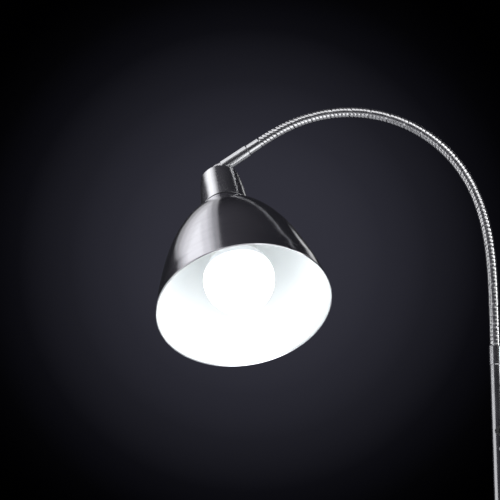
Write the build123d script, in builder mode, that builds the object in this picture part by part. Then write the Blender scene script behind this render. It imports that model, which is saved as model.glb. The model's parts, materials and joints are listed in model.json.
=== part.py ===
"""Gooseneck floor lamp: weighted round base, thin pole with a push-button switch,
ribbed gooseneck and a bell shade on a tilting knuckle. Millimetres, +Z up,
origin on the floor under the pole; the gooseneck arcs in the XZ plane towards -X."""

import math
import os

from build123d import *

os.makedirs("parts", exist_ok=True)

running_gap = 0.05
plug_gap = 0.05
free_gap = 0.3

# base
base_r = 128.0
cover_t = 1.2
cover_wall_top = 21.0
cover_crown = 28.0
cover_rim_z = 2.2
cover_brow_r = 3.5
dome_drop = 3.0
pad_inset = 10.0
pad_t = 2.0
weight_inset = 7.0
weight_chamfer = 2.0
weight_t = 14.0
nut_pocket_r = 17.0
nut_pocket_h = 6.6
nut_h = 4.0
nut_r = 9.0
washer_t = 1.2
washer_inset = 3.0
stud_gap = 0.1
stud_wall = 1.5
stud_hole_gap = 0.2
stud_rise = 30.0
collar_r = 13.0
collar_h = 9.0
collar_foot = 1.5
collar_lip = 1.2
gland_z = 12.6
gland_r = 4.2
gland_flange_r = 5.3
gland_bore_r = 3.0
gland_len = 8.0
gland_flange_t = 2.3
gland_stand = 2.5

# lead from the base inlet to the switch
lead_r = 2.0
lead_bend = 6.0
lead_inset = 7.0
lead_gap = 1.0

# pole
pole_r = 6.0
pole_wall = 1.0
ferrule_top_z = 1180.0
ferrule_h = 19.0
ferrule_lip = 0.4
ferrule_plug = 15.0
ferrule_socket = 9.0
joiner_len = 40.0
joiner_wall = 1.35

# switch on the pole
switch_drop = 65.5
switch_turn = 27.0
bush_r = 5.2
bush_front = 7.9
neck_r = 3.4
button_r = 2.6
button_front = 9.1
button_travel = 1.2
plunger_r = 1.0
body_front = 2.2
body_back_gap = 1.4
body_side_gap = 2.3
body_h = 14.0
screw_below_switch = 17.5
screw_head_r = 2.5
screw_head_front = 7.5
screw_r = 1.2

# gooseneck
rib_pitch = 4.033
ribs_per_link = 5
link_count = 21
crest_r = 5.2
groove_depth = 0.7
groove_half = 0.6
flank = 0.6
socket_wall = 0.5
ball_gap = 0.3
hose_bore_r = 2.4
hose_plug_wall = 1.0
hose_plug = 7.0
total_turn = 122.5

# head ferrule, sleeve and knuckle, measured back from the tilt pivot
ribs_from_pivot = 52.4
head_ferrule_len = 14.6
head_ferrule_r = 5.4
head_plug_r = 4.7
head_plug = 14.0
sleeve_r = 6.2
sleeve_from_pivot = 6.0
knuckle_plug = 8.0
face_gap = 0.05
lug_inset = 1.2
knuckle_r = 4.8
knuckle_half_w = 4.4
clamp_r = 1.6
clamp_head_r = 3.0
clamp_head_h = 1.4
clamp_slot = 0.9
clamp_nut_h = 2.8
clamp_end = 0.6
swivel_rest = 32.7
tilt_rest = 74.9

# shade, cap, lampholder and bulb; the bell's outline is in shares of its mouth's radius
# and of its height
shade_mouth_r = 85.0
shade_top_h = 137.0
shade_t = 0.9
bell_shares = [
    (1.0, 0.0),
    (0.9388, 0.1825),
    (0.8588, 0.365),
    (0.7576, 0.5474),
    (0.6459, 0.6934),
    (0.5341, 0.8029),
    (0.44, 0.8759),
    (0.3576, 0.9307),
]
shoulder_r = 25.2
shoulder_drop = 4.0
shoulder_brow = 1.5
spacer_inset = 1.8
spacer_t = 1.4
cap_outline_r = 24.0
cap_top_r = 16.5
cap_height = 49.0
cap_round = 6.0
cap_t = 1.0
holder_wall = 3.2
holder_len = 60.0
holder_top_t = 4.0
holder_from_cap_top = 23.4
shell_t = 0.6
shell_gap = 0.5
shell_set = 2.0
shell_past_cap = 4.0
ring_inset = 1.8
shade_ring_h = 5.0
nipple_r = 4.9
nipple_bore_r = 3.4
knuckle_base_r = 9.0
knuckle_base_h = 3.0
knuckle_skin = 0.6
pivot_rise = 7.5
nipple_nut_r = 8.5
nipple_nut_h = 5.0
bulb_r = 33.5
bulb_reach = 93.0
bulb_glass_t = 1.4
bulb_split_rise = 19.0
bulb_neck_lip = 0.8
bulb_neck_gap = 1.0
bulb_cap_r = 13.2
bulb_cap_t = 0.8
bulb_cap_h = 23.0
bulb_tip_t = 3.0

# radii that follow from what each piece fits
pad_r = base_r - pad_inset
weight_r = base_r - weight_inset
pole_bore_r = pole_r - pole_wall
base_stud_r = pole_bore_r - stud_gap
base_stud_bore_r = base_stud_r - stud_wall
pole_plug_r = pole_bore_r - plug_gap
joiner_bore_r = pole_plug_r - joiner_wall
ferrule_r = pole_r + ferrule_lip
body_back = body_back_gap - pole_bore_r
body_half_w = pole_bore_r - body_side_gap
groove_r = crest_r - groove_depth
socket_r = groove_r - socket_wall
ball_r = socket_r - ball_gap
hose_plug_r = groove_r - hose_plug_wall
spacer_r = shoulder_r - spacer_inset
shade_ring_r = shoulder_r - shade_t - ring_inset
bulb_neck_r = bulb_cap_r + bulb_neck_lip
holder_bore_r = bulb_cap_r + shell_t + shell_gap
holder_r = holder_bore_r + holder_wall

# heights up the shade's axis from its mouth
shoulder_h = shade_top_h - shoulder_drop
cap_base_h = shade_top_h + spacer_t
cap_top_h = cap_base_h + cap_height
lug_base_h = cap_top_h + knuckle_base_h
pivot_h = lug_base_h + pivot_rise
holder_top_h = cap_top_h - holder_from_cap_top
holder_mouth_h = holder_top_h - holder_len
cap_foot_h = holder_mouth_h + bulb_neck_gap
bulb_tip_h = cap_foot_h + bulb_cap_h + bulb_tip_t
bulb_centre_h = bulb_tip_h - bulb_reach
bulb_split_h = bulb_centre_h + bulb_split_rise
shade_outline = [(r * shade_mouth_r, h * shade_top_h) for r, h in bell_shares]

# where the pole, its tubes and its fittings stand
pole_foot_z = cover_crown
pole_top_z = ferrule_top_z - ferrule_h
tube_len = (pole_top_z - pole_foot_z) / 3.0
seam_1_z = pole_foot_z + tube_len
seam_2_z = seam_1_z + tube_len
switch_z = pole_top_z - switch_drop
screw_z = switch_z - screw_below_switch
weight_top_z = pad_t + weight_t
switch_dir = Vector(
    math.sin(math.radians(switch_turn)),
    -math.cos(math.radians(switch_turn)),
    0,
)
across_dir = Vector(0, 0, 1).cross(switch_dir)
SWITCH = Plane(origin=(0, 0, switch_z), x_dir=across_dir, z_dir=switch_dir)
SCREW = Plane(origin=(0, 0, screw_z), x_dir=across_dir, z_dir=switch_dir)


def ramp(value, low, high):
    share = min(max((value - low) / (high - low), 0.0), 1.0)
    return share * share * (3.0 - 2.0 * share)


def bend_weight(share):
    """How sharply the gooseneck is curved, by share of its length from the pole."""
    return ramp(share, 0.03, 0.477) * (1.0 - 0.66 * ramp(share, 0.888, 1.008))


# centreline of the gooseneck at rest, walked from the pole to the head
steps_per_rib = 12
rib_count = ribs_per_link * link_count
step_count = steps_per_rib * rib_count
step_len = rib_pitch / steps_per_rib
hose_len = rib_pitch * rib_count
bends = [bend_weight((i + 0.5) / step_count) for i in range(step_count)]
turn_scale = total_turn / sum(bends)
headings = [90.0]
path = [(0.0, ferrule_top_z)]
for bend in bends:
    middle = math.radians(headings[-1] + 0.5 * bend * turn_scale)
    path.append(
        (
            path[-1][0] + step_len * math.cos(middle),
            path[-1][1] + step_len * math.sin(middle),
        )
    )
    headings.append(headings[-1] + bend * turn_scale)


def heading_at(s):
    place = min(max(s / step_len, 0.0), step_count)
    i = min(int(place), step_count - 1)
    return headings[i] + (place - i) * (headings[i + 1] - headings[i])


def across_hose(s):
    """The plane square to the gooseneck's centreline at length s, straight past its ends."""
    place = min(max(s / step_len, 0.0), step_count)
    i = min(int(place), step_count - 1)
    x = path[i][0] + (place - i) * (path[i + 1][0] - path[i][0])
    z = path[i][1] + (place - i) * (path[i + 1][1] - path[i][1])
    angle = math.radians(heading_at(s))
    past = s - place * step_len
    along = (math.cos(angle), 0, math.sin(angle))
    origin = (x + past * along[0], 0, z + past * along[2])
    return Plane(origin=origin, x_dir=(0, 1, 0), z_dir=along)


# tilt pivot, stem direction (pivot to gooseneck) and the shade's axis
hose_end = across_hose(hose_len)
stem_dir = hose_end.z_dir * -1.0
pivot = hose_end.origin + hose_end.z_dir * ribs_from_pivot
upright = Vector(0, 1, 0).cross(stem_dir) * -1.0
lean_dir = upright * math.cos(math.radians(swivel_rest)) + Vector(0, 1, 0) * math.sin(
    math.radians(swivel_rest)
)
shade_dir = stem_dir * math.cos(math.radians(tilt_rest)) + lean_dir * math.sin(
    math.radians(tilt_rest)
)
tilt_dir = stem_dir.cross(lean_dir)
mouth = pivot - shade_dir * pivot_h
HEAD = Plane(origin=mouth, x_dir=tilt_dir, z_dir=shade_dir)
HEAD_SECTION = Plane(origin=mouth, x_dir=tilt_dir, z_dir=tilt_dir.cross(shade_dir))
HEAD_AXIS = Axis(mouth, shade_dir)
STEM = Plane(origin=pivot, x_dir=tilt_dir, z_dir=stem_dir)
STEM_SECTION = Plane(origin=pivot, x_dir=tilt_dir, z_dir=tilt_dir.cross(stem_dir))
STEM_AXIS = Axis(pivot, stem_dir)
CLAMP = Plane(origin=pivot, x_dir=shade_dir, z_dir=tilt_dir)


def inset(points, thickness):
    """The same outline moved square to itself by a wall's thickness, towards the axis."""
    moved = []
    for i, (r, h) in enumerate(points):
        a = points[max(i - 1, 0)]
        b = points[min(i + 1, len(points) - 1)]
        dr, dh = b[0] - a[0], b[1] - a[1]
        size = math.hypot(dr, dh)
        moved.append((r - thickness * dh / size, h + thickness * dr / size))
    return moved


# base
with BuildPart() as base_pad:
    with BuildSketch(Plane.XZ):
        with BuildLine():
            Polyline(
                (0, 0),
                (pad_r, 0),
                (pad_r, pad_t),
                (0, pad_t),
                close=True,
            )
        make_face()
    revolve(axis=Axis.Z)
base_pad.part.label = "base_pad"
export_step(base_pad.part, "parts/base_pad.step")

web_z = pad_t + nut_pocket_h
stud_hole_r = base_stud_r + stud_hole_gap
with BuildPart() as base_weight:
    with BuildSketch(Plane.XZ):
        with BuildLine():
            Polyline(
                (nut_pocket_r, pad_t),
                (weight_r, pad_t),
                (weight_r, weight_top_z - weight_chamfer),
                (weight_r - weight_chamfer, weight_top_z),
                (stud_hole_r, weight_top_z),
                (stud_hole_r, web_z),
                (nut_pocket_r, web_z),
                close=True,
            )
        make_face()
    revolve(axis=Axis.Z)
    with BuildSketch(Plane.XZ):
        with Locations((0, weight_top_z)):
            Rectangle(2 * lead_r + 1.2, 2 * (weight_top_z - gland_z + lead_r + 0.6))
    extrude(amount=-base_r, mode=Mode.SUBTRACT)
base_weight.part.label = "base_weight"
export_step(base_weight.part, "parts/base_weight.step")

with BuildPart() as base_cover:
    with BuildSketch(Plane.XZ):
        with BuildLine():
            wall = Line((base_r, cover_rim_z), (base_r, cover_wall_top - cover_brow_r))
            brow = RadiusArc(wall @ 1, (base_r - cover_brow_r, cover_wall_top), -cover_brow_r)
            dome = Spline(
                brow @ 1,
                (base_r * 0.55, cover_crown - dome_drop),
                (collar_r + 4.0, cover_crown),
                tangents=((-1, 0.06), (-1, 0)),
            )
            crown = Line(dome @ 1, (stud_hole_r, cover_crown))
            lip = Line(crown @ 1, (stud_hole_r, cover_crown - cover_t))
            under = Line(lip @ 1, (collar_r + 4.0, cover_crown - cover_t))
            inner_dome = Spline(
                under @ 1,
                (base_r * 0.55, cover_crown - dome_drop - cover_t),
                (base_r - cover_brow_r, cover_wall_top - cover_t),
                tangents=((1, 0), (1, -0.06)),
            )
            inner_brow = RadiusArc(
                inner_dome @ 1,
                (base_r - cover_t, cover_wall_top - cover_brow_r),
                cover_brow_r - cover_t,
            )
            inner_wall = Line(inner_brow @ 1, (base_r - cover_t, cover_rim_z))
            Line(inner_wall @ 1, wall @ 0)
        make_face()
    revolve(axis=Axis.Z)
    with BuildSketch(Plane.XZ.offset(-base_r - 1.0)):
        with Locations((0, gland_z)):
            Circle(gland_r + plug_gap)
    extrude(amount=6.0, mode=Mode.SUBTRACT)
base_cover.part.label = "base_cover"
export_step(base_cover.part, "parts/base_cover.step")

with BuildPart() as cord_gland:
    with BuildSketch(Plane.XZ.offset(-base_r - gland_stand)):
        with Locations((0, gland_z)):
            Circle(gland_flange_r)
    extrude(amount=gland_flange_t)
    with BuildSketch(Plane.XZ.offset(-base_r - gland_stand)):
        with Locations((0, gland_z)):
            Circle(gland_r)
    extrude(amount=gland_len)
    with BuildSketch(Plane.XZ.offset(-base_r - gland_stand)):
        with Locations((0, gland_z)):
            Circle(gland_bore_r)
    extrude(amount=gland_len, mode=Mode.SUBTRACT)
cord_gland.part.label = "cord_gland"
export_step(cord_gland.part, "parts/cord_gland.step")

with BuildPart() as base_washer:
    with BuildSketch(Plane.XY.offset(web_z - washer_t)):
        Circle(nut_pocket_r - washer_inset)
        Circle(base_stud_r + 0.15, mode=Mode.SUBTRACT)
    extrude(amount=washer_t)
base_washer.part.label = "base_washer"
export_step(base_washer.part, "parts/base_washer.step")

with BuildPart() as base_nut:
    with BuildSketch(Plane.XY.offset(web_z - washer_t - nut_h)):
        RegularPolygon(radius=nut_r, side_count=6)
        Circle(base_stud_r + plug_gap, mode=Mode.SUBTRACT)
    extrude(amount=nut_h)
base_nut.part.label = "base_nut"
export_step(base_nut.part, "parts/base_nut.step")

stud_top_z = pole_foot_z + stud_rise
with BuildPart() as base_stud:
    with BuildSketch(Plane.XY.offset(web_z - washer_t - nut_h)):
        Circle(base_stud_r)
        Circle(base_stud_bore_r, mode=Mode.SUBTRACT)
    extrude(amount=stud_top_z - web_z + washer_t + nut_h)
    with BuildSketch(Plane.XZ):
        with Locations((0, 0.5 * (gland_z - lead_r + cover_crown))):
            Rectangle(2 * lead_r + 1.0, cover_crown - gland_z + lead_r + 1.0)
    extrude(amount=-3 * base_stud_r, mode=Mode.SUBTRACT)
base_stud.part.label = "base_stud"
export_step(base_stud.part, "parts/base_stud.step")

with BuildPart() as foot_collar:
    with BuildSketch(Plane.XZ):
        with BuildLine():
            foot = Polyline(
                (pole_r + plug_gap, cover_crown + collar_h),
                (pole_r + plug_gap, cover_crown),
                (collar_r, cover_crown),
                (collar_r, cover_crown + collar_foot),
            )
            sweep_in = Spline(
                foot @ 1,
                (pole_r + 2 * collar_lip, cover_crown + 0.55 * collar_h),
                (pole_r + collar_lip, cover_crown + collar_h),
                tangents=((-0.2, 1), (-0.1, 1)),
            )
            Line(sweep_in @ 1, foot @ 0)
        make_face()
    revolve(axis=Axis.Z)
foot_collar.part.label = "foot_collar"
export_step(foot_collar.part, "parts/foot_collar.step")

# pole
with BuildPart() as pole_lower_tube:
    with BuildSketch(Plane.XY.offset(pole_foot_z)):
        Circle(pole_r)
        Circle(pole_bore_r, mode=Mode.SUBTRACT)
    extrude(amount=tube_len)
pole_lower_tube.part.label = "pole_lower_tube"
export_step(pole_lower_tube.part, "parts/pole_lower_tube.step")

with BuildPart() as pole_middle_tube:
    with BuildSketch(Plane.XY.offset(seam_1_z)):
        Circle(pole_r)
        Circle(pole_bore_r, mode=Mode.SUBTRACT)
    extrude(amount=tube_len)
pole_middle_tube.part.label = "pole_middle_tube"
export_step(pole_middle_tube.part, "parts/pole_middle_tube.step")

with BuildPart() as pole_upper_tube:
    with BuildSketch(Plane.XY.offset(seam_2_z)):
        Circle(pole_r)
        Circle(pole_bore_r, mode=Mode.SUBTRACT)
    extrude(amount=tube_len)
    with BuildSketch(SWITCH):
        Circle(neck_r + plug_gap)
    extrude(amount=2 * pole_r, mode=Mode.SUBTRACT)
    with BuildSketch(SCREW):
        Circle(screw_r + plug_gap)
    extrude(amount=2 * pole_r, mode=Mode.SUBTRACT)
pole_upper_tube.part.label = "pole_upper_tube"
export_step(pole_upper_tube.part, "parts/pole_upper_tube.step")

with BuildPart() as lower_joiner:
    with BuildSketch(Plane.XY.offset(seam_1_z - joiner_len / 2)):
        Circle(pole_plug_r)
        Circle(joiner_bore_r, mode=Mode.SUBTRACT)
    extrude(amount=joiner_len)
lower_joiner.part.label = "lower_joiner"
export_step(lower_joiner.part, "parts/lower_joiner.step")

with BuildPart() as upper_joiner:
    with BuildSketch(Plane.XY.offset(seam_2_z - joiner_len / 2)):
        Circle(pole_plug_r)
        Circle(joiner_bore_r, mode=Mode.SUBTRACT)
    extrude(amount=joiner_len)
upper_joiner.part.label = "upper_joiner"
export_step(upper_joiner.part, "parts/upper_joiner.step")

with BuildPart() as pole_ferrule:
    with BuildSketch(Plane.XZ):
        with BuildLine():
            Polyline(
                (hose_bore_r, pole_top_z - ferrule_plug),
                (pole_plug_r, pole_top_z - ferrule_plug),
                (pole_plug_r, pole_top_z),
                (pole_r, pole_top_z),
                (ferrule_r, pole_top_z + 0.6),
                (ferrule_r, ferrule_top_z - 0.8),
                (ferrule_r - 0.6, ferrule_top_z),
                (hose_plug_r + plug_gap, ferrule_top_z),
                (hose_plug_r + plug_gap, ferrule_top_z - ferrule_socket),
                (hose_bore_r, ferrule_top_z - ferrule_socket),
                close=True,
            )
        make_face()
    revolve(axis=Axis.Z)
pole_ferrule.part.label = "pole_ferrule"
export_step(pole_ferrule.part, "parts/pole_ferrule.step")

with BuildPart() as pole_lead:
    with BuildLine() as lead_route:
        FilletPolyline(
            (0, base_r - lead_inset, gland_z),
            (0, 0, gland_z),
            (0, 0, switch_z - body_h / 2 - lead_gap),
            radius=lead_bend,
        )
    with BuildSketch(Plane(origin=(0, base_r - lead_inset, gland_z), z_dir=(0, -1, 0))):
        Circle(lead_r)
    sweep(path=lead_route.line)
pole_lead.part.label = "pole_lead"
export_step(pole_lead.part, "parts/pole_lead.step")

# switch
with BuildPart() as switch_bush:
    with BuildSketch(SWITCH):
        Circle(bush_r)
    extrude(amount=bush_front)
    fillet(switch_bush.faces().sort_by(Axis((0, 0, 0), switch_dir))[-1].edges(), 0.5)
    with BuildSketch(Plane.XY.offset(switch_z - 2 * bush_r)):
        Circle(pole_r)
    extrude(amount=4 * bush_r, mode=Mode.SUBTRACT)
    with BuildSketch(SWITCH.offset(body_front)):
        Circle(neck_r)
    extrude(amount=bush_front - 1.0 - body_front)
    with BuildSketch(SWITCH.offset(body_front)):
        Circle(button_r + running_gap)
    extrude(amount=bush_front, mode=Mode.SUBTRACT)
switch_bush.part.label = "switch_bush"
export_step(switch_bush.part, "parts/switch_bush.step")

with BuildPart() as switch_button:
    with BuildSketch(SWITCH.offset(body_front + button_travel + 0.2)):
        Circle(button_r)
    extrude(amount=button_front - body_front - button_travel - 0.2)
    fillet(switch_button.faces().sort_by(Axis((0, 0, 0), switch_dir))[-1].edges(), 0.6)
    with BuildSketch(SWITCH.offset(body_front - 0.8)):
        Circle(plunger_r)
    extrude(amount=button_travel + 1.2)
switch_button.part.label = "switch_button"
export_step(switch_button.part, "parts/switch_button.step")

with BuildPart() as switch_body:
    with BuildSketch(SWITCH.offset(body_back)):
        Rectangle(2 * body_half_w, body_h)
    extrude(amount=body_front - body_back)
    with BuildSketch(SWITCH.offset(body_front)):
        Circle(plunger_r + 0.2)
    extrude(amount=-(button_travel + 1.4), mode=Mode.SUBTRACT)
switch_body.part.label = "switch_body"
export_step(switch_body.part, "parts/switch_body.step")

with BuildPart() as pole_screw:
    with BuildSketch(SCREW):
        Circle(screw_head_r)
    extrude(amount=screw_head_front)
    fillet(pole_screw.faces().sort_by(Axis((0, 0, 0), switch_dir))[-1].edges(), 0.6)
    with BuildSketch(Plane.XY.offset(screw_z - 2 * screw_head_r)):
        Circle(pole_r)
    extrude(amount=4 * screw_head_r, mode=Mode.SUBTRACT)
    with BuildSketch(SCREW.offset(pole_bore_r - 2.6)):
        Circle(screw_r)
    extrude(amount=3.8)
    with BuildSketch(SCREW.offset(screw_head_front - 0.6)):
        Rectangle(0.7, 3.0)
        Rectangle(3.0, 0.7)
    extrude(amount=1.0, mode=Mode.SUBTRACT)
pole_screw.part.label = "pole_screw"
export_step(pole_screw.part, "parts/pole_screw.step")

# gooseneck: each link is a run of ribs on the curved centreline, with a hollow ball at its
# pole end that sits in the socket of the link below
link_len = rib_pitch * ribs_per_link
for n in range(link_count):
    start = n * link_len
    end = start + link_len
    with BuildPart() as gooseneck_link:
        if n == 0:
            with BuildSketch(across_hose(start)):
                Circle(groove_r)
        for k in range(ribs_per_link):
            rib = start + k * rib_pitch
            for at, r in (
                (groove_half, groove_r),
                (groove_half + flank, crest_r),
                (rib_pitch - groove_half - flank, crest_r),
                (rib_pitch - groove_half, groove_r),
            ):
                with BuildSketch(across_hose(rib + at)):
                    Circle(r)
        if n == link_count - 1:
            with BuildSketch(across_hose(end)):
                Circle(groove_r)
        loft(ruled=True)
        if n == 0:
            with BuildSketch(across_hose(-ferrule_socket + 0.5)):
                Circle(hose_plug_r)
            extrude(amount=ferrule_socket + 1.0)
        else:
            with Locations(across_hose(start)):
                Sphere(ball_r)
        if n == link_count - 1:
            with BuildSketch(across_hose(end)):
                Circle(hose_plug_r + plug_gap + 0.05)
            extrude(amount=-hose_plug - 0.5, mode=Mode.SUBTRACT)
        else:
            with Locations(across_hose(end)):
                Sphere(socket_r, mode=Mode.SUBTRACT)
        bore_from = start - (ferrule_socket if n == 0 else ball_r) - 0.5
        bore_to = end + 0.5
        for k in range(7):
            with BuildSketch(across_hose(bore_from + (bore_to - bore_from) * k / 6)):
                Circle(hose_bore_r)
        loft(ruled=True, mode=Mode.SUBTRACT)
    gooseneck_link.part.label = f"gooseneck_link_{n + 1:02d}"
    export_step(gooseneck_link.part, f"parts/gooseneck_link_{n + 1:02d}.step")

# head ferrule, sleeve and the stem's half of the knuckle
ferrule_back = ribs_from_pivot - head_ferrule_len
with BuildPart() as head_ferrule:
    with BuildSketch(STEM_SECTION):
        with BuildLine():
            Polyline(
                (hose_bore_r, ferrule_back - head_plug),
                (head_plug_r, ferrule_back - head_plug),
                (head_plug_r, ferrule_back),
                (head_ferrule_r - 0.4, ferrule_back),
                (head_ferrule_r, ferrule_back + 0.4),
                (head_ferrule_r, ribs_from_pivot - 0.6),
                (head_ferrule_r - 0.5, ribs_from_pivot),
                (hose_plug_r, ribs_from_pivot),
                (hose_plug_r, ribs_from_pivot + hose_plug),
                (hose_bore_r, ribs_from_pivot + hose_plug),
                close=True,
            )
        make_face()
    revolve(axis=STEM_AXIS)
head_ferrule.part.label = "head_ferrule"
export_step(head_ferrule.part, "parts/head_ferrule.step")

sleeve_end = ferrule_back - free_gap
with BuildPart() as head_sleeve:
    with BuildSketch(STEM_SECTION):
        with BuildLine():
            Polyline(
                (head_plug_r + running_gap, sleeve_from_pivot),
                (sleeve_r - 0.5, sleeve_from_pivot),
                (sleeve_r, sleeve_from_pivot + 0.5),
                (sleeve_r, sleeve_end - 0.6),
                (sleeve_r - 0.6, sleeve_end),
                (head_plug_r + running_gap, sleeve_end),
                close=True,
            )
        make_face()
    revolve(axis=STEM_AXIS)
head_sleeve.part.label = "head_sleeve"
export_step(head_sleeve.part, "parts/head_sleeve.step")

with BuildPart() as knuckle_upper:
    with BuildSketch(CLAMP.offset(face_gap)):
        Circle(knuckle_r)
    extrude(amount=knuckle_half_w - face_gap)
    with BuildSketch(STEM):
        with Locations((0.5 * (knuckle_half_w + face_gap), 0)):
            Rectangle(knuckle_half_w - face_gap, 2 * (knuckle_r - lug_inset))
    extrude(amount=sleeve_from_pivot)
    with BuildSketch(STEM.offset(knuckle_r + 0.4)):
        Circle(knuckle_r)
    extrude(amount=sleeve_from_pivot - knuckle_r - 0.4)
    with BuildSketch(STEM.offset(sleeve_from_pivot)):
        Circle(head_plug_r)
    extrude(amount=knuckle_plug)
    with BuildSketch(STEM.offset(knuckle_r + 0.4)):
        Circle(hose_bore_r)
    extrude(amount=knuckle_plug + 4.0, mode=Mode.SUBTRACT)
    with BuildSketch(CLAMP):
        Circle(clamp_r + plug_gap)
    extrude(amount=knuckle_half_w, mode=Mode.SUBTRACT)
knuckle_upper.part.label = "knuckle_upper"
export_step(knuckle_upper.part, "parts/knuckle_upper.step")

with BuildPart() as clamp_screw:
    with BuildSketch(CLAMP.offset(knuckle_half_w)):
        Circle(clamp_head_r)
    extrude(amount=clamp_head_h)
    fillet(clamp_screw.faces().sort_by(Axis(pivot, tilt_dir))[-1].edges(), 0.8)
    with BuildSketch(CLAMP.offset(-knuckle_half_w - clamp_nut_h - clamp_end)):
        Circle(clamp_r)
    extrude(amount=2 * knuckle_half_w + clamp_nut_h + clamp_end + 0.2)
    with BuildSketch(CLAMP.offset(knuckle_half_w + clamp_head_h - clamp_slot)):
        Rectangle(clamp_slot, 1.6 * clamp_head_r)
    extrude(amount=1.5, mode=Mode.SUBTRACT)
clamp_screw.part.label = "clamp_screw"
export_step(clamp_screw.part, "parts/clamp_screw.step")

with BuildPart() as clamp_nut:
    with BuildSketch(CLAMP.offset(-knuckle_half_w - face_gap - clamp_nut_h)):
        RegularPolygon(radius=clamp_head_r, side_count=6)
        Circle(clamp_r + plug_gap, mode=Mode.SUBTRACT)
    extrude(amount=clamp_nut_h)
clamp_nut.part.label = "clamp_nut"
export_step(clamp_nut.part, "parts/clamp_nut.step")

# head: the shade's half of the knuckle, cap, shade and lampholder
with BuildPart() as knuckle_lower:
    with BuildSketch(HEAD.offset(cap_top_h)):
        Circle(knuckle_base_r)
    extrude(amount=knuckle_base_h)
    fillet(knuckle_lower.faces().sort_by(HEAD_AXIS)[-1].edges(), 1.0)
    with BuildSketch(HEAD.offset(lug_base_h - 0.5)):
        with Locations((-0.5 * (knuckle_half_w + face_gap), 0)):
            Rectangle(knuckle_half_w - face_gap, 2 * (knuckle_r - lug_inset))
    extrude(amount=pivot_rise + 0.5)
    with BuildSketch(CLAMP.offset(-knuckle_half_w)):
        Circle(knuckle_r)
    extrude(amount=knuckle_half_w - face_gap)
    with BuildSketch(CLAMP.offset(-knuckle_half_w)):
        Circle(clamp_r + running_gap)
    extrude(amount=knuckle_half_w, mode=Mode.SUBTRACT)
    with BuildSketch(HEAD.offset(cap_top_h)):
        Circle(nipple_r + plug_gap)
    extrude(amount=knuckle_base_h - knuckle_skin, mode=Mode.SUBTRACT)
knuckle_lower.part.label = "knuckle_lower"
export_step(knuckle_lower.part, "parts/knuckle_lower.step")

cap_side = [
    (cap_outline_r, 0.0),
    (cap_outline_r - 1.0, 0.25 * cap_height),
    (cap_outline_r - 2.9, 0.55 * cap_height),
    (cap_top_r + 1.6, cap_height - cap_round),
]
cap_inner = inset(cap_side, cap_t)
with BuildPart() as socket_cap:
    with BuildSketch(HEAD_SECTION):
        with BuildLine():
            side = Spline(*[(r, cap_base_h + h) for r, h in cap_side])
            brow = Spline(
                side @ 1,
                (cap_top_r - 0.2, cap_top_h - 1.9),
                (cap_top_r - cap_round + 0.6, cap_top_h),
                tangents=(side % 1, (-1, 0)),
            )
            top = Line(brow @ 1, (nipple_r + 0.15, cap_top_h))
            lip = Line(top @ 1, (nipple_r + 0.15, cap_top_h - cap_t))
            under = Line(lip @ 1, (cap_top_r - cap_round + 0.6, cap_top_h - cap_t))
            slope = Line(under @ 1, (cap_inner[-1][0], cap_base_h + cap_inner[-1][1]))
            inside = Spline(
                *[(r, cap_base_h + h) for r, h in reversed(cap_inner[1:])],
                (cap_inner[0][0], cap_base_h),
            )
            Line(inside @ 1, side @ 0)
        make_face()
    revolve(axis=HEAD_AXIS)
socket_cap.part.label = "socket_cap"
export_step(socket_cap.part, "parts/socket_cap.step")

with BuildPart() as cap_spacer:
    with BuildSketch(HEAD.offset(shade_top_h)):
        Circle(spacer_r)
        Circle(holder_r + 0.3, mode=Mode.SUBTRACT)
    extrude(amount=spacer_t)
cap_spacer.part.label = "cap_spacer"
export_step(cap_spacer.part, "parts/cap_spacer.step")

shade_inner = inset(shade_outline, shade_t)
shade_hole_r = holder_r + 0.3
with BuildPart() as shade:
    with BuildSketch(HEAD_SECTION):
        with BuildLine():
            bell = Spline(*shade_outline)
            ogee = Spline(
                bell @ 1,
                (shoulder_r + 1.2, shoulder_h - 1.8),
                (shoulder_r, shoulder_h),
                tangents=(bell % 1, (0, 1)),
            )
            shoulder = Line(ogee @ 1, (shoulder_r, shade_top_h - shoulder_brow))
            brow = ThreePointArc(
                shoulder @ 1,
                (shoulder_r - 0.293 * shoulder_brow, shade_top_h - 0.293 * shoulder_brow),
                (shoulder_r - shoulder_brow, shade_top_h),
            )
            top = Line(brow @ 1, (shade_hole_r, shade_top_h))
            lip = Line(top @ 1, (shade_hole_r, shade_top_h - shade_t))
            under = Line(
                lip @ 1, (shoulder_r - shade_t - 0.6, shade_top_h - shade_t)
            )
            step_in = Line(under @ 1, (shoulder_r - shade_t, shoulder_h))
            inner_ogee = Spline(
                step_in @ 1,
                (shoulder_r + 0.4, shoulder_h - 2.5),
                shade_inner[-1],
                tangents=((0, -1), bell % 1 * -1.0),
            )
            inner_bell = Spline(*reversed(shade_inner[1:]), (shade_inner[0][0], 0.0))
            Line(inner_bell @ 1, bell @ 0)
        make_face()
    revolve(axis=HEAD_AXIS)
shade.part.label = "shade"
export_step(shade.part, "parts/shade.step")

ring_top_h = shade_top_h - shade_t
with BuildPart() as shade_ring:
    with BuildSketch(HEAD.offset(ring_top_h - shade_ring_h)):
        Circle(shade_ring_r)
        Circle(holder_r + plug_gap, mode=Mode.SUBTRACT)
    extrude(amount=shade_ring_h)
shade_ring.part.label = "shade_ring"
export_step(shade_ring.part, "parts/shade_ring.step")

with BuildPart() as lampholder_body:
    with BuildSketch(HEAD_SECTION):
        with BuildLine():
            Polyline(
                (holder_bore_r, holder_mouth_h),
                (holder_r - 0.8, holder_mouth_h),
                (holder_r, holder_mouth_h + 0.8),
                (holder_r, holder_top_h - 6.0),
                (holder_r - 5.0, holder_top_h),
                (nipple_r + plug_gap, holder_top_h),
                (nipple_r + plug_gap, holder_top_h - holder_top_t),
                (holder_bore_r, holder_top_h - holder_top_t),
                close=True,
            )
        make_face()
    revolve(axis=HEAD_AXIS)
lampholder_body.part.label = "lampholder_body"
export_step(lampholder_body.part, "parts/lampholder_body.step")

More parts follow.
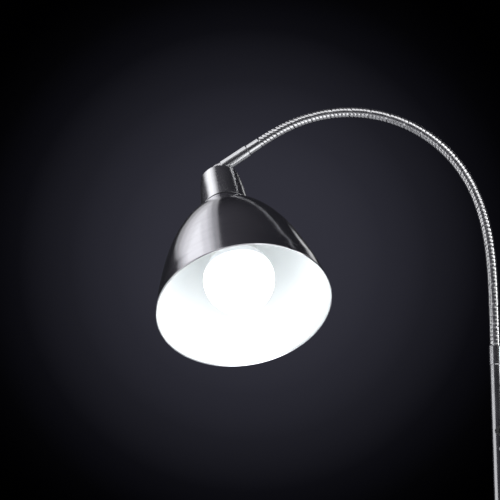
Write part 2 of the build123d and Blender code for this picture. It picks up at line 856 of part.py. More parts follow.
shell_h = bulb_cap_h + shell_past_cap
with BuildPart() as lampholder_shell:
    with BuildSketch(HEAD.offset(holder_mouth_h + shell_set)):
        Circle(holder_bore_r - plug_gap)
        Circle(holder_bore_r - plug_gap - shell_t, mode=Mode.SUBTRACT)
    extrude(amount=shell_h)
lampholder_shell.part.label = "lampholder_shell"
export_step(lampholder_shell.part, "parts/lampholder_shell.step")

contact_top_h = holder_top_h - holder_top_t
with BuildPart() as lampholder_contact:
    with BuildSketch(HEAD.offset(contact_top_h - 3.0)):
        Circle(holder_bore_r - 1.0)
        Circle(nipple_bore_r, mode=Mode.SUBTRACT)
    extrude(amount=3.0)
    with BuildSketch(HEAD.offset(bulb_tip_h + 0.05)):
        with Locations((nipple_bore_r + 1.6, 0)):
            Rectangle(1.2, 5.0)
    extrude(amount=contact_top_h - 3.0 - bulb_tip_h)
    with BuildSketch(HEAD.offset(bulb_tip_h + 0.05)):
        with Locations((1.0, 0)):
            Rectangle(9.2, 5.0)
    extrude(amount=1.2)
lampholder_contact.part.label = "lampholder_contact"
export_step(lampholder_contact.part, "parts/lampholder_contact.step")

with BuildPart() as cap_nipple:
    with BuildSketch(HEAD.offset(holder_top_h - holder_top_t + 0.2)):
        Circle(nipple_r)
        Circle(nipple_bore_r, mode=Mode.SUBTRACT)
    extrude(amount=lug_base_h - knuckle_skin - 0.2 - holder_top_h + holder_top_t - 0.2)
cap_nipple.part.label = "cap_nipple"
export_step(cap_nipple.part, "parts/cap_nipple.step")

with BuildPart() as nipple_nut:
    with BuildSketch(HEAD.offset(cap_top_h - cap_t - nipple_nut_h)):
        RegularPolygon(radius=nipple_nut_r, side_count=6)
        Circle(nipple_r + plug_gap, mode=Mode.SUBTRACT)
    extrude(amount=nipple_nut_h)
nipple_nut.part.label = "nipple_nut"
export_step(nipple_nut.part, "parts/nipple_nut.step")

# bulb
split_r = math.sqrt(bulb_r**2 - (bulb_split_h - bulb_centre_h) ** 2)
glass_in_r = bulb_r - bulb_glass_t
split_in_r = math.sqrt(glass_in_r**2 - (bulb_split_h - bulb_centre_h) ** 2)
with BuildPart() as bulb_globe:
    with BuildSketch(HEAD_SECTION):
        with BuildLine():
            outer = ThreePointArc(
                (0, bulb_centre_h - bulb_r),
                (bulb_r, bulb_centre_h),
                (split_r, bulb_split_h),
            )
            edge = Line(outer @ 1, (split_in_r, bulb_split_h))
            inner = ThreePointArc(
                edge @ 1,
                (glass_in_r, bulb_centre_h),
                (0, bulb_centre_h - glass_in_r),
            )
            Line(inner @ 1, outer @ 0)
        make_face()
    revolve(axis=HEAD_AXIS)
bulb_globe.part.label = "bulb_globe"
export_step(bulb_globe.part, "parts/bulb_globe.step")

with BuildPart() as bulb_housing:
    with BuildSketch(HEAD_SECTION):
        with BuildLine():
            outer = Spline(
                (split_r, bulb_split_h),
                (0.5 * split_r + 8.6, bulb_split_h + 20.0),
                (bulb_neck_r, cap_foot_h),
                tangents=((-0.62, 1), (-0.12, 1)),
            )
            head = Line(outer @ 1, (bulb_neck_r - 2.5, cap_foot_h))
            inner = Spline(
                head @ 1,
                (0.5 * split_r + 6.2, bulb_split_h + 20.0),
                (split_r - 2.6, bulb_split_h),
                tangents=((0.12, -1), (0.62, -1)),
            )
            Line(inner @ 1, outer @ 0)
        make_face()
    revolve(axis=HEAD_AXIS)
bulb_housing.part.label = "bulb_housing"
export_step(bulb_housing.part, "parts/bulb_housing.step")

with BuildPart() as bulb_screw_cap:
    with BuildSketch(HEAD.offset(cap_foot_h)):
        Circle(bulb_cap_r)
        Circle(bulb_cap_r - bulb_cap_t, mode=Mode.SUBTRACT)
    extrude(amount=bulb_cap_h)
bulb_screw_cap.part.label = "bulb_screw_cap"
export_step(bulb_screw_cap.part, "parts/bulb_screw_cap.step")

with BuildPart() as bulb_tip:
    with BuildSketch(HEAD.offset(cap_foot_h + bulb_cap_h)):
        Circle(bulb_cap_r)
    extrude(amount=bulb_tip_t, taper=45)
bulb_tip.part.label = "bulb_tip"
export_step(bulb_tip.part, "parts/bulb_tip.step")
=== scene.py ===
import json
import math

import bpy
from mathutils import Euler, Matrix, Vector


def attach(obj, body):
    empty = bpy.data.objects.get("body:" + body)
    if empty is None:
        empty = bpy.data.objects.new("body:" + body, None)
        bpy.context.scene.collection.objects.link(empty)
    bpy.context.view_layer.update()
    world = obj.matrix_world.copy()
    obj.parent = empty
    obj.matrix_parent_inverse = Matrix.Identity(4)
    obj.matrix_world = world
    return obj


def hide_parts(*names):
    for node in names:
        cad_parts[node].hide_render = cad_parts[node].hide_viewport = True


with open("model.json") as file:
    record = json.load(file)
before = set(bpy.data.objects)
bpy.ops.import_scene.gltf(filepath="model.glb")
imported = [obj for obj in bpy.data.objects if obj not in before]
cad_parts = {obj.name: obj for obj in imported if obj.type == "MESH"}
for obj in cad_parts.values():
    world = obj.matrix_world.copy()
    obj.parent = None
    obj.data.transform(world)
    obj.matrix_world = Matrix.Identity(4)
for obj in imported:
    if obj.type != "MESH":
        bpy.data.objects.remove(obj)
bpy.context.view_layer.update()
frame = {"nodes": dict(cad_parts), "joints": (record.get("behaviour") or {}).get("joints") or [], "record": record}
mm = 0.001
weld_reach = 0.01 * mm

# The head hangs on the tilt joint. Its own axis runs from the middle of the shade's mouth up to the knuckle.
joints = {joint["name"]: joint for joint in frame["joints"]}
pivot = Vector(joints["shade_tilt"]["pos_m"])
tilt_axis = Vector(joints["shade_tilt"]["axis"]).normalized()
stem_axis = Vector(joints["stem_swivel"]["axis"]).normalized()
tilt_rest = math.radians(74.9)
pivot_height = 197.9 * mm
shade_axis = (Matrix.Rotation(tilt_rest, 3, tilt_axis) @ stem_axis).normalized()
mouth = pivot - shade_axis * pivot_height
head_turn = shade_axis.to_track_quat("Z", "Y").to_matrix()
head_place = Matrix.Translation(mouth) @ head_turn.to_4x4()

# The gooseneck starts straight up from the pole and bends in the X-Z plane. Each of its lengths is wound
# a little shorter than its link, which leaves room at the joint.
hose_foot = Vector((0.0, 0.0, 1180.0 * mm))
rib_pitch = 4.033 * mm
ribs_per_link = 5
link_count = 21
link_length = rib_pitch * ribs_per_link
hose_length = link_length * link_count
hose_turn = math.radians(122.5)
crest_radius = 5.2 * mm
joint_room = 0.75 * mm
wound_length = link_length - joint_room
wire_end_gap = math.radians(3.2)


def deselect():
    bpy.ops.object.select_all(action="DESELECT")


def choose(*pieces):
    """Selects the pieces and makes the first one active."""
    deselect()
    for piece in pieces:
        piece.select_set(True)
    bpy.context.view_layer.objects.active = pieces[0]


def edit():
    bpy.ops.object.mode_set(mode="EDIT")


def leave():
    bpy.ops.object.mode_set(mode="OBJECT")


def smooth_line(points, steps):
    """The outline's points with a smooth run between each pair of them."""
    run = []
    last = len(points) - 1
    for index in range(last):
        before, start = points[max(index - 1, 0)], points[index]
        end, after = points[index + 1], points[min(index + 2, last)]
        for step in range(steps):
            t = step / steps
            run.append(tuple(
                0.5 * (2 * b + (c - a) * t + (2 * a - 5 * b + 4 * c - d) * t * t
                       + (3 * b - a - 3 * c + d) * t ** 3)
                for a, b, c, d in zip(before, start, end, after)
            ))
    return run + [points[-1]]


def turned(name, outline, sides):
    """A piece turned on a lathe: a ring drawn up along the outline, given in mm as radius and height."""
    deselect()
    radius, height = outline[0]
    bpy.ops.mesh.primitive_circle_add(vertices=sides, radius=radius * mm, location=(0, 0, 0))
    piece = bpy.context.object
    piece.name = piece.data.name = name
    edit()
    bpy.ops.mesh.select_mode(type="EDGE")
    bpy.ops.mesh.select_all(action="SELECT")
    bpy.ops.transform.translate(value=(0, 0, height * mm))
    for next_radius, next_height in outline[1:]:
        lift = (next_height - height) * mm
        bpy.ops.mesh.extrude_region_move(TRANSFORM_OT_translate={"value": (0, 0, lift)})
        share = next_radius / radius
        bpy.ops.transform.resize(
            value=(share, share, 1), center_override=(0, 0, next_height * mm)
        )
        radius, height = next_radius, next_height
    bpy.ops.mesh.select_all(action="SELECT")
    bpy.ops.mesh.remove_doubles(threshold=weld_reach)
    bpy.ops.mesh.normals_make_consistent(inside=False)
    leave()
    return piece


def face_outwards(piece):
    """Flips a turned piece's faces where those of its first ring look towards the axis."""
    face = piece.data.polygons[0]
    if face.normal.x * face.center.x + face.normal.y * face.center.y > 0:
        return
    choose(piece)
    edit()
    bpy.ops.mesh.select_all(action="SELECT")
    bpy.ops.mesh.flip_normals()
    leave()


def set_down(piece, place):
    """Moves the piece from the lathe to its place and keeps the place in its mesh."""
    choose(piece)
    piece.matrix_world = place
    bpy.ops.object.transform_apply(location=True, rotation=True, scale=True)


def soften(piece, degrees):
    """Shades the piece smooth, apart from edges sharper than the angle."""
    choose(piece)
    bpy.ops.object.shade_smooth_by_angle(angle=math.radians(degrees))


def apply_modifier(piece, kind, **settings):
    choose(piece)
    modifier = piece.modifiers.new(kind.lower(), kind)
    for key, value in settings.items():
        setattr(modifier, key, value)
    bpy.ops.object.modifier_apply(modifier=modifier.name)


class Value:
    """One value in a finish: arithmetic on it adds the Math nodes."""

    def __init__(self, finish, socket):
        self.finish = finish
        self.socket = socket

    def __add__(self, other):
        return self.finish.maths("ADD", self, other)

    def __sub__(self, other):
        return self.finish.maths("SUBTRACT", self, other)

    def __mul__(self, other):
        return self.finish.maths("MULTIPLY", self, other)

    def __truediv__(self, other):
        return self.finish.maths("DIVIDE", self, other)

    __radd__ = __add__


class Finish:
    """A material, or the world, as a tree of nodes that its methods add to."""

    def __init__(self, owner):
        self.owner = owner
        owner.use_nodes = True
        self.tree = owner.node_tree
        self.tree.nodes.clear()

    def node(self, kind, settings=None, **sockets):
        """Adds a node. Its sockets go by name, with _ for a space, or by number, as in n0."""
        made = self.tree.nodes.new("ShaderNode" + kind)
        for key, value in (settings or {}).items():
            if key == "stops":
                ramp = made.color_ramp
                while len(ramp.elements) < len(value):
                    ramp.elements.new(1.0)
                for element, (place, colour) in zip(ramp.elements, value):
                    element.position = place
                    element.color = (*colour, 1.0)
            else:
                setattr(made, key, value)
        for key, value in sockets.items():
            by_number = key[0] == "n" and key[1:].isdigit()
            socket = made.inputs[int(key[1:]) if by_number else key.replace("_", " ")]
            if isinstance(value, Value):
                self.tree.links.new(value.socket, socket)
            else:
                socket.default_value = value
        return made

    def read(self, node, output):
        return Value(self, node.outputs[output])

    def maths(self, operation, *terms):
        sockets = {f"n{index}": term for index, term in enumerate(terms)}
        return self.read(self.node("Math", {"operation": operation}, **sockets), 0)

    def noise(self, where, scale, detail, roughness=0.5):
        made = self.node("TexNoise", {"noise_dimensions": "3D"}, Vector=where, Scale=scale,
                         Detail=detail, Roughness=roughness)
        return self.read(made, "Fac")

    def ramp(self, fac, *stops):
        return self.read(self.node("ValToRGB", {"stops": stops}, Fac=fac), "Color")

    def mix(self, share, first, second):
        return self.read(self.node("Mix", {"data_type": "RGBA"}, n0=share, n6=first, n7=second), 2)

    def rise(self, value, low, high):
        """A smooth rise from 0 to 1 while the value goes from low to high."""
        made = self.node("MapRange", {"clamp": True, "interpolation_type": "SMOOTHSTEP"},
                         Value=value, From_Min=low, From_Max=high, To_Min=0.0, To_Max=1.0)
        return self.read(made, "Result")

    def here(self, centre=(0, 0, 0), turn=(0, 0, 0)):
        """Where a point is on the piece, seen from its own centre and axis."""
        spot = self.read(self.node("TexCoord"), "Object")
        made = self.node("Mapping", {"vector_type": "TEXTURE"}, Vector=spot,
                         Location=centre, Rotation=turn, Scale=(1, 1, 1))
        return self.read(made, "Vector")

    def axes(self, vector):
        made = self.node("SeparateXYZ", Vector=vector)
        return [self.read(made, axis) for axis in "XYZ"]

    def vector(self, x, y, z):
        return self.read(self.node("CombineXYZ", X=x, Y=y, Z=z), "Vector")

    def bump(self, height, depth, strength):
        made = self.node("Bump", Height=height, Distance=depth, Strength=strength)
        return self.read(made, "Normal")

    def surface(self, **sockets):
        shader = self.node("BsdfPrincipled", **sockets)
        out = self.node("OutputMaterial")
        self.tree.links.new(shader.outputs[0], out.inputs["Surface"])
        return self.owner


def new_finish(name):
    return Finish(bpy.data.materials.new(name))


def swing(noise, width):
    """The noise as a swing about zero, over the given width."""
    return (noise - 0.5) * width


def turning_lines(finish, centre, turn, per_metre, breaks):
    """Fine lines that run round an axis, as a lathe or a brush leaves them."""
    x, y, z = finish.axes(finish.here(centre, turn))
    never_zero = 1e-9
    reach = finish.maths("SQRT", x * x + y * y + never_zero)
    along = finish.vector(x / reach * breaks, y / reach * breaks, z * per_metre)
    return finish.noise(along, 1.0, 3.0, 0.6)


def spun_nickel(name, centre, turn, tint, tone, rough, lines=2400.0):
    """Brushed nickel on a turned piece: fine and broad lines round its axis, and a faint haze."""
    finish = new_finish(name)
    fine = turning_lines(finish, centre, turn, lines, 1.6)
    broad = turning_lines(finish, centre, turn, lines / 9.0, 0.9)
    haze = finish.noise(finish.here(), 34.0, 2.0)
    brightness = tone + swing(fine, 0.16) + swing(broad, 0.14) + swing(haze, 0.05)
    colour = finish.ramp(brightness, (0.0, (0.02, 0.02, 0.02)), (1.0, tint))
    return finish.surface(
        Base_Color=colour, Metallic=1.0,
        Roughness=rough + swing(fine, 0.22) + swing(haze, 0.08),
        Normal=finish.bump(fine * 0.7 + broad * 0.3, 0.05 * mm, 0.55),
    )


def drawn_nickel(name, tint, rough, centre=(0, 0, 0), turn=(0, 0, 0)):
    """Plated tube: fine lines along the tube and a little handling haze."""
    finish = new_finish(name)
    across, along = 1500.0, 30.0
    x, y, z = finish.axes(finish.here(centre, turn))
    fine = finish.noise(finish.vector(x * across, y * across, z * along), 1.0, 2.0)
    haze = finish.noise(finish.here(), 45.0, 3.0)
    colour = finish.ramp(0.82 + swing(fine, 0.16) + swing(haze, 0.2),
                         (0.0, (0.03, 0.03, 0.03)), (1.0, tint))
    return finish.surface(
        Base_Color=colour, Metallic=1.0, Roughness=rough + swing(haze, 0.12) + swing(fine, 0.1),
        Normal=finish.bump(fine, 0.02 * mm, 0.3),
    )


def wound_nickel(name):
    """The hose's wire: bright on the crests, with small marks from bending."""
    finish = new_finish(name)
    haze = finish.noise(finish.here(), 160.0, 3.0)
    nicks = finish.noise(finish.here(), 1400.0, 2.0)
    colour = finish.ramp(0.84 + swing(haze, 0.3) + swing(nicks, 0.14),
                         (0.0, (0.05, 0.05, 0.055)), (1.0, (0.76, 0.76, 0.775)))
    return finish.surface(
        Base_Color=colour, Metallic=1.0, Roughness=0.24 + swing(haze, 0.16) + swing(nicks, 0.08),
        Normal=finish.bump(nicks, 0.02 * mm, 0.3),
    )


def plain_metal(name, dark, light, rough, scale=300.0):
    """Unbrushed metal with a fine grain between two tones."""
    finish = new_finish(name)
    grain = finish.noise(finish.here(), scale, 4.0)
    colour = finish.ramp(grain, (0.25, dark), (0.75, light))
    return finish.surface(
        Base_Color=colour, Metallic=1.0, Roughness=rough + swing(grain, 0.25),
        Normal=finish.bump(grain, 0.03 * mm, 0.4),
    )


def moulded_plastic(name, dark, light, rough, scale=2200.0, depth=0.02):
    """Plastic, rubber or foam: a grain as deep as given, in mm, and soft patches between two tones."""
    finish = new_finish(name)
    grain = finish.noise(finish.here(), scale, 2.0)
    patch = finish.noise(finish.here(), 40.0, 2.0)
    colour = finish.ramp(patch * 0.7 + grain * 0.3, (0.3, dark), (0.7, light))
    return finish.surface(
        Base_Color=colour, Roughness=rough + swing(patch, 0.15) + swing(grain, 0.1),
        Normal=finish.bump(grain, depth * mm, 0.35),
    )


def white_enamel(name):
    """Sprayed lining of the shade: slightly uneven, with a soft gloss."""
    finish = new_finish(name)
    peel = finish.noise(finish.here(), 700.0, 2.0)
    patch = finish.noise(finish.here(), 22.0, 2.0)
    colour = finish.ramp(patch, (0.3, (0.875, 0.90, 0.905)), (0.7, (0.905, 0.925, 0.93)))
    return finish.surface(
        Base_Color=colour, Roughness=0.42 + swing(patch, 0.12),
        Normal=finish.bump(peel, 0.03 * mm, 0.3),
    )


def glowing_glass(name, centre, turn):
    """Frosted globe, lit from inside: its light fades a little above its middle, towards the neck."""
    fade_from, fade_to = 39.0 * mm, 46.0 * mm
    finish = new_finish(name)
    height = finish.axes(finish.here(centre, turn))[2]
    frost = finish.noise(finish.here(), 900.0, 2.0)
    light = finish.ramp(finish.rise(height, fade_from, fade_to),
                        (0.0, (0.965, 0.99, 1.0)), (1.0, (0.05, 0.052, 0.054)))
    return finish.surface(
        Base_Color=(0.62, 0.63, 0.64, 1.0), Roughness=0.5 + swing(frost, 0.2),
        Emission_Color=light, Emission_Strength=5.3,
        Normal=finish.bump(frost, 0.02 * mm, 0.25),
    )


mouth_place, head_euler = tuple(mouth), tuple(head_turn.to_euler())
stem_turn = tuple(stem_axis.to_track_quat("Z", "Y").to_euler())
shade_nickel = spun_nickel("shade_nickel", mouth_place, head_euler, (0.575, 0.572, 0.605),
                           tone=0.80, rough=0.135)
cap_nickel = spun_nickel("cap_nickel", mouth_place, head_euler, (0.66, 0.665, 0.68),
                         tone=0.88, rough=0.18, lines=3000.0)
base_nickel = spun_nickel("base_nickel", (0, 0, 0), (0, 0, 0), (0.70, 0.705, 0.72), tone=0.92, rough=0.55)
# The pole's drawn nickel is a darker copy of the stem's: painted shade that keeps the pole dim under the left
# window's light.
shaded_tube_nickel = drawn_nickel("shaded_tube_nickel", (0.43, 0.432, 0.45), rough=0.22)
stem_nickel = drawn_nickel("stem_nickel", (0.68, 0.685, 0.70), rough=0.22,
                           centre=tuple(pivot), turn=stem_turn)
hose_nickel = wound_nickel("hose_nickel")
fitting_steel = plain_metal("fitting_steel", (0.34, 0.34, 0.35), (0.56, 0.56, 0.57), rough=0.33)
contact_brass = plain_metal("contact_brass", (0.42, 0.29, 0.10), (0.66, 0.47, 0.19), rough=0.36)
bulb_aluminium = plain_metal("bulb_aluminium", (0.48, 0.48, 0.49), (0.68, 0.68, 0.69), rough=0.3)
weight_iron = plain_metal("weight_iron", (0.05, 0.048, 0.045), (0.12, 0.115, 0.11), rough=0.7, scale=220.0)
black_plastic = moulded_plastic("black_plastic", (0.010, 0.010, 0.011), (0.018, 0.018, 0.019), rough=0.42)
insulator = moulded_plastic("insulator", (0.012, 0.012, 0.016), (0.03, 0.03, 0.036), rough=0.25)
white_plastic = moulded_plastic("white_plastic", (0.74, 0.74, 0.73), (0.82, 0.82, 0.81), rough=0.4)
lead_jacket = moulded_plastic("lead_jacket", (0.012, 0.012, 0.012), (0.022, 0.022, 0.022), rough=0.55)
foot_foam = moulded_plastic("foot_foam", (0.014, 0.014, 0.014), (0.030, 0.030, 0.030), rough=0.9,
                            scale=900.0, depth=0.2)
lining = white_enamel("lining")
globe_glass = glowing_glass("globe_glass", mouth_place, head_euler)

finish_of_slot = {
    "brushed_nickel": base_nickel,
    "nickel_tube": shaded_tube_nickel,
    "hose_metal": hose_nickel,
    "steel_fitting": fitting_steel,
    "black_plastic": black_plastic,
    "white_plastic": white_plastic,
    "brass_contact": contact_brass,
    "bulb_glass": globe_glass,
    "bulb_metal": bulb_aluminium,
    "bulb_insulator": insulator,
    "iron_weight": weight_iron,
    "foam_pad": foot_foam,
    "lead_jacket": lead_jacket,
}

# Every piece takes its slot's finish, but the sleeve and ferrule at the head are brighter than the pole, whose
# copy of the nickel is darkened as painted shade.
for subpart in frame["record"]["subparts"]:
    node = frame["nodes"][subpart["node"]]
    node.data.materials.clear()
    node.data.materials.append(finish_of_slot[subpart["material_slot"]])
for name in ("head_ferrule", "head_sleeve"):
    frame["nodes"][name].data.materials[0] = stem_nickel


def fit(piece, body, slot, *replaced):
    """Ties a modelled piece to its body, in place of the solids named. The slot argument is not used."""
    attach(piece, body)
    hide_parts(*replaced)


# Shade: one spun sheet from a rolled rim up to the shoulder under the cap. Outlines are in mm, as radius
# and height.
sheet = 0.9 * mm
points_between = 5
rim = [(84.2, 0.0), (84.7, 0.15), (84.95, 0.55), (85.0, 1.05), (84.88, 1.6), (84.6, 2.05), (84.32, 2.4)]
bell = [(84.25, 3.1), (82.5, 12.0), (79.8, 25.0), (73.0, 50.0), (64.4, 75.0), (54.9, 95.0),
        (45.4, 110.0), (37.4, 120.0), (30.4, 127.5), (26.6, 131.0), (25.2, 133.6)]
shoulder = [(25.2, 135.5), (24.9, 136.4), (24.3, 136.85), (23.6, 137.0), (17.9, 137.0)]
shade = turned("shade_sheet", rim + smooth_line(bell, points_between) + shoulder, sides=144)
face_outwards(shade)
shade.data.materials.append(shade_nickel)
shade.data.materials.append(lining)
apply_modifier(shade, "SOLIDIFY", thickness=sheet, offset=-1.0, material_offset=1,
               material_offset_rim=0, use_even_offset=True)
set_down(shade, head_place)
soften(shade, 40)
fit(shade, "head", "brushed_nickel", "shade")

# Cap over the lampholder, with a round brow under the knuckle. Its heights start at its lower edge.
cap_base, cap_height = 138.4, 49.0
cap_edge, cap_top = [(23.7, 0.0)], [(8.0, cap_height), (5.4, cap_height)]
cap_side = [(24.2, 0.4), (24.0, 3.0), (23.5, 12.25), (22.4, 26.95), (20.2, 42.5), (18.9, 46.0),
            (16.0, 48.3), (11.4, cap_height)]
cap_line = cap_edge + smooth_line(cap_side, points_between) + cap_top
cap = turned("socket_cover", [(radius, cap_base + height) for radius, height in cap_line], sides=96)
face_outwards(cap)
cap.data.materials.append(cap_nickel)
apply_modifier(cap, "SOLIDIFY", thickness=sheet, offset=-1.0, use_even_offset=True)
set_down(cap, head_place)
soften(cap, 40)
fit(cap, "head", "brushed_nickel", "socket_cap")

# Frosted globe of the bulb, from its crown to the seam with the housing. It is turned with a small hole
# at the crown, which is then closed.
globe_radius, globe_centre, seam_height = 34.5, 38.0, 57.0
globe_rings, crown_hole = 28, 0.03
crown_angle = crown_hole - 0.5 * math.pi
seam_angle = math.asin((seam_height - globe_centre) / globe_radius)
globe_line = []
for ring in range(globe_rings + 1):
    angle = crown_angle + (seam_angle - crown_angle) * ring / globe_rings
    globe_line.append((globe_radius * math.cos(angle), globe_centre + globe_radius * math.sin(angle)))
globe = turned("bulb_frosted_globe", globe_line, sides=64)
choose(globe)
edit()
bpy.ops.mesh.select_all(action="DESELECT")
leave()
crown_height = globe_line[0][1] * mm + weld_reach
for edge in globe.data.edges:
    edge.select = all(globe.data.vertices[corner].co.z < crown_height for corner in edge.vertices)
edit()
bpy.ops.mesh.extrude_region_move(TRANSFORM_OT_translate={"value": (0, 0, 0)})
bpy.ops.mesh.merge(type="CENTER")
bpy.ops.mesh.select_all(action="SELECT")
bpy.ops.mesh.normals_make_consistent(inside=False)
leave()
face_outwards(globe)
globe.data.materials.append(globe_glass)
apply_modifier(globe, "SOLIDIFY", thickness=1.4 * mm, offset=-1.0, use_even_offset=True)
set_down(globe, head_place)
soften(globe, 50)
fit(globe, "head", "bulb_glass", "bulb_globe")


# Gooseneck: two wires wound side by side on a core, one length for each link, laid along the hose's line.
def ease(value, low, high):
    share = min(max((value - low) / (high - low), 0.0), 1.0)
    return share * share * (3.0 - 2.0 * share)


def bend_weight(share):
    """How hard the hose bends at a share of its length: more and more into the arc, and less at the head."""
    arc = ease(share, 0.03, 0.477)
    slackening = 0.66 * ease(share, 0.888, 1.008)
    return arc * (1.0 - slackening)


steps_per_rib, steps_per_point = 12, 6
steps = steps_per_rib * ribs_per_link * link_count
weights = [bend_weight((index + 0.5) / steps) for index in range(steps)]
all_weights = sum(weights)
heading, spot = 0.5 * math.pi, hose_foot.copy()
hose_line = [spot.copy()]
for weight in weights:
    turn = hose_turn * weight / all_weights
    middle = heading + 0.5 * turn
    spot += Vector((math.cos(middle), 0.0, math.sin(middle))) * (hose_length / steps)
    heading += turn
    hose_line.append(spot.copy())
guide_curve = bpy.data.curves.new("hose_guide", "CURVE")
guide_curve.dimensions = "3D"
guide_curve.twist_mode = "MINIMUM"
spline = guide_curve.splines.new("POLY")
spline.points.add(steps // steps_per_point)
for index, point in enumerate(spline.points):
    point.co = (*hose_line[steps_per_point * index], 1.0)
guide = bpy.data.objects.new("hose_guide", guide_curve)
bpy.context.scene.collection.objects.link(guide)

# The wire's section starts as a circle of 1 mm radius, so these are half its depth and half its width, in mm.
# Its crest is pressed flat to a share of its height.
wire_depth, wire_width = 0.75, 1.80
crest_band, crest_share = 0.6 * mm, 0.28
steps_per_turn = 32


def wound_wire(name, start_turn):
    """One wire of the hose: an oval section with a flattened crest, wound up by the Screw modifier."""
    deselect()
    bpy.ops.mesh.primitive_circle_add(
        vertices=16, radius=1.0 * mm, location=(0, 0, 0), rotation=(0.5 * math.pi, 0, 0)
    )
    wire = bpy.context.object
    wire.name = wire.data.name = name
    bpy.ops.object.transform_apply(location=True, rotation=True, scale=True)
    edit()
    bpy.ops.mesh.select_all(action="SELECT")
    bpy.ops.transform.resize(value=(wire_depth, 1, wire_width), center_override=(0, 0, 0))
    bpy.ops.transform.translate(value=(crest_radius - wire_depth * mm, 0, 0))
    bpy.ops.mesh.select_all(action="DESELECT")
    leave()
    for vertex in wire.data.vertices:
        vertex.select = vertex.co.x > crest_radius - crest_band
    edit()
    bpy.ops.transform.resize(value=(crest_share, 1, 1), center_override=(crest_radius, 0, 0))
    leave()
    turns = 0.5 * ribs_per_link
    share = 1.0 - wire_end_gap / (2.0 * math.pi * turns)
    apply_modifier(wire, "SCREW", axis="Z", angle=2.0 * math.pi * turns * share,
                   screw_offset=wound_length * share,
                   steps=int(steps_per_turn * turns), render_steps=int(steps_per_turn * turns),
                   use_smooth_shade=True)
    edit()
    bpy.ops.mesh.select_mode(type="EDGE")
    bpy.ops.mesh.select_all(action="DESELECT")
    bpy.ops.mesh.select_non_manifold()
    bpy.ops.mesh.edge_face_add()
    bpy.ops.mesh.select_all(action="SELECT")
    bpy.ops.mesh.normals_make_consistent(inside=False)
    leave()
    choose(wire)
    wire.rotation_euler = (0, 0, start_turn + 0.5 * wire_end_gap)
    wire.location = (0, 0, 0.5 * (link_length - wound_length * share))
    bpy.ops.object.transform_apply(location=True, rotation=True, scale=True)
    wire.data.materials.append(hose_nickel)
    return wire


# The core has a ball at its foot and a socket at its head. It is slim at both, so that the next length's
# wires clear it when the joint turns.
length = link_length / mm
core_line = [
    (2.0, -2.03), (2.45, -1.456), (2.763, -0.7), (2.85, 0.0), (3.0, 0.35), (3.4, 0.9), (3.4, 2.3),
    (3.85, 2.8), (3.85, 0.5 * length), (3.85, length - 2.8), (3.4, length - 2.3), (3.4, length - 0.5),
    (3.05, length - 0.5), (3.05, length - 2.2), (2.0, length - 2.7), (2.0, 0.5 * length), (2.0, -2.03),
]
core = turned("hose_core", core_line, sides=20)
core.data.materials.append(hose_nickel)
first_wire = wound_wire("hose_wire_a", 0.5 * math.pi)
second_wire = wound_wire("hose_wire_b", 1.5 * math.pi)
choose(first_wire, second_wire, core)
bpy.ops.object.join()
hose_link = first_wire


def cut_level(piece, height, keep_above):
    """Cuts a length off square, where it goes into a ferrule."""
    choose(piece)
    edit()
    bpy.ops.mesh.select_all(action="SELECT")
    bpy.ops.mesh.bisect(plane_co=(0, 0, height), plane_no=(0, 0, 1), use_fill=True,
                        clear_inner=keep_above, clear_outer=not keep_above)
    leave()


end_trim = 0.05 * mm
for number in range(1, link_count + 1):
    link = hose_link.copy()
    link.data = hose_link.data.copy()
    link.name = link.data.name = f"hose_length_{number:02d}"
    bpy.context.scene.collection.objects.link(link)
    if number == 1:
        cut_level(link, end_trim, True)
    if number == link_count:
        cut_level(link, link_length - end_trim, False)
    set_down(link, Matrix.Translation((0, 0, (number - 1) * link_length)))
    apply_modifier(link, "CURVE", object=guide, deform_axis="POS_Z")
    soften(link, 60)
    fit(link, "stand" if number == 1 else f"neck_{number:02d}", "hose_metal",
        f"gooseneck_link_{number:02d}")
bpy.data.objects.remove(hose_link)
bpy.data.objects.remove(guide)

# Stage: a pale floor, a charcoal backdrop behind the lamp, and soft light from the left and above.
deselect()
bpy.ops.mesh.primitive_plane_add(size=9.0, location=(0, 0, 0))
floor = bpy.context.object
floor.name = floor.data.name = "floor"
floor_finish = new_finish("floor_paint")
floor_patch = floor_finish.noise(floor_finish.here(), 3.0, 3.0)
floor.data.materials.append(floor_finish.surface(
    Base_Color=floor_finish.ramp(floor_patch, (0.3, (0.60, 0.61, 0.63)), (0.7, (0.64, 0.65, 0.67))),
    Roughness=0.7,
))

world = bpy.data.worlds.new("studio")
bpy.context.scene.world = world
studio = Finish(world)
towards = studio.read(studio.node("TexCoord"), "Generated")

# The backdrop has a soft pool of light behind the lamp, which only the camera sees. Reflections see an even
# tone there.
pool_centre = (-0.1366, 0.9717, 0.1928)
nearness = studio.read(
    studio.node("VectorMath", {"operation": "DOT_PRODUCT"}, n0=towards, n1=pool_centre), "Value")
pool = studio.ramp(
    studio.rise(nearness, 0.9765, 1.0),
    (0.0, (0.0001, 0.0001, 0.0002)), (0.21, (0.0011, 0.0011, 0.0016)),
    (0.5, (0.0040, 0.0040, 0.0059)), (0.78, (0.0125, 0.0125, 0.0177)),
    (0.923, (0.0214, 0.0214, 0.0301)), (1.0, (0.0315, 0.0315, 0.0435)),
)
straight_on = studio.read(studio.node("LightPath"), "Is Camera Ray")
backdrop = studio.mix(straight_on, (0.018, 0.018, 0.022, 1.0), pool)

# Away from the backdrop the room's walls are lighter on the left than on the right.
room = studio.rise(nearness, 0.93, 0.55)
rightwards = studio.axes(towards)[0]
walls = studio.ramp(studio.rise(rightwards, -0.40, 0.55),
                    (0.0, (0.072, 0.070, 0.082)), (1.0, (0.020, 0.020, 0.025)))
surround = studio.mix(room, backdrop, walls)
background = studio.node("Background", Color=surround, Strength=1.0)
world_out = studio.node("OutputWorld")
studio.tree.links.new(background.outputs[0], world_out.inputs["Surface"])


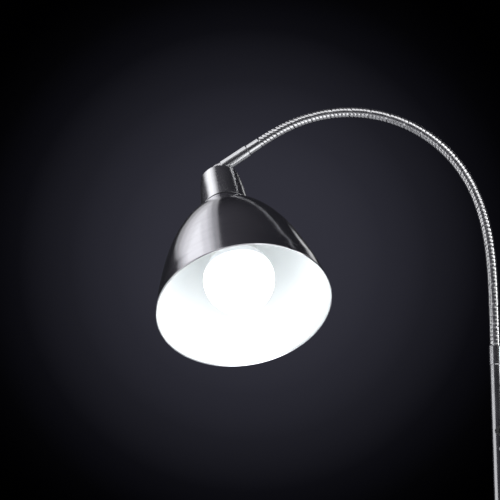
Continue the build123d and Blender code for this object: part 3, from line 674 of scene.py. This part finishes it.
def soft_light(name, place, target, size, watts, tint=(1, 1, 1), mirrored=True, diffuse=True):
    """A panel of light that the camera doesn't see. It may also stay out of reflections, or off matt faces."""
    panel = bpy.data.lights.new(name, "AREA")
    panel.shape, panel.size, panel.size_y = "RECTANGLE", size[0], size[1]
    panel.energy, panel.color = watts, tint
    holder = bpy.data.objects.new(name, panel)
    holder.location = place
    holder.rotation_euler = (Vector(target) - Vector(place)).to_track_quat("-Z", "Y").to_euler()
    holder.visible_camera = False
    holder.visible_glossy, holder.visible_diffuse = mirrored, diffuse
    bpy.context.scene.collection.objects.link(holder)


# The ceiling's panels lie under one another, so that the light is brightest in their middle.
for name, x, y, z, wide, long, watts in (
    ("ceiling_panel", -1.535, 0.60, 2.75, 1.47, 4.00, 9.2),
    ("ceiling_panel_inner", -1.52, 0.38, 2.74, 1.15, 2.75, 4.2),
    ("ceiling_core", -1.50, 0.22, 2.73, 0.90, 2.05, 2.2),
    ("ceiling_core_inner", -1.52, 0.12, 2.72, 0.55, 1.45, 1.0),
):
    soft_light(name, (x, y, z), (x, y, 0.0), (wide, long), watts, (0.98, 0.98, 1.0))
soft_light("left_window", (-1.60, -0.55, 1.15), (0.0, -0.55, 1.15), (2.1, 1.7), 15.0, diffuse=False)
soft_light("right_strip", (1.30, -0.25, 1.35), (0.0, 0.0, 1.25), (0.35, 1.0), 5.0)
soft_light("back_edge", (0.27, 1.98, 2.26), (-0.2, -0.1, 1.29), (0.22, 0.35), 0.24)
soft_light("right_front_panel", (1.5, -1.4, 2.6), (0.0, 0.0, 0.6), (1.8, 1.8), 14.0)
soft_light("floor_bounce", (0.50, -0.95, 0.02), (0.50, -0.95, 2.0), (1.4, 1.5), 10.0)
soft_light("front_top_panel", (0.10, -1.30, 2.70), (0.10, -1.30, 0.0), (2.3, 1.6), 15.0)
soft_light("floor_fill", (0.0, 0.0, 3.6), (0.0, 0.0, 0.0), (9.0, 9.0), 115.0, mirrored=False)

camera_data = bpy.data.cameras.new("photo_camera")
camera_data.lens, camera_data.sensor_width = 108.0, 36.0
camera = bpy.data.objects.new("photo_camera", camera_data)
camera.location = (-0.0354, -1.4998, 0.9762)
camera.rotation_euler = Euler((math.radians(101.5), 0.0, math.radians(8.0)))
bpy.context.scene.collection.objects.link(camera)
bpy.context.scene.camera = camera
bpy.context.scene.view_settings.view_transform = "Standard"
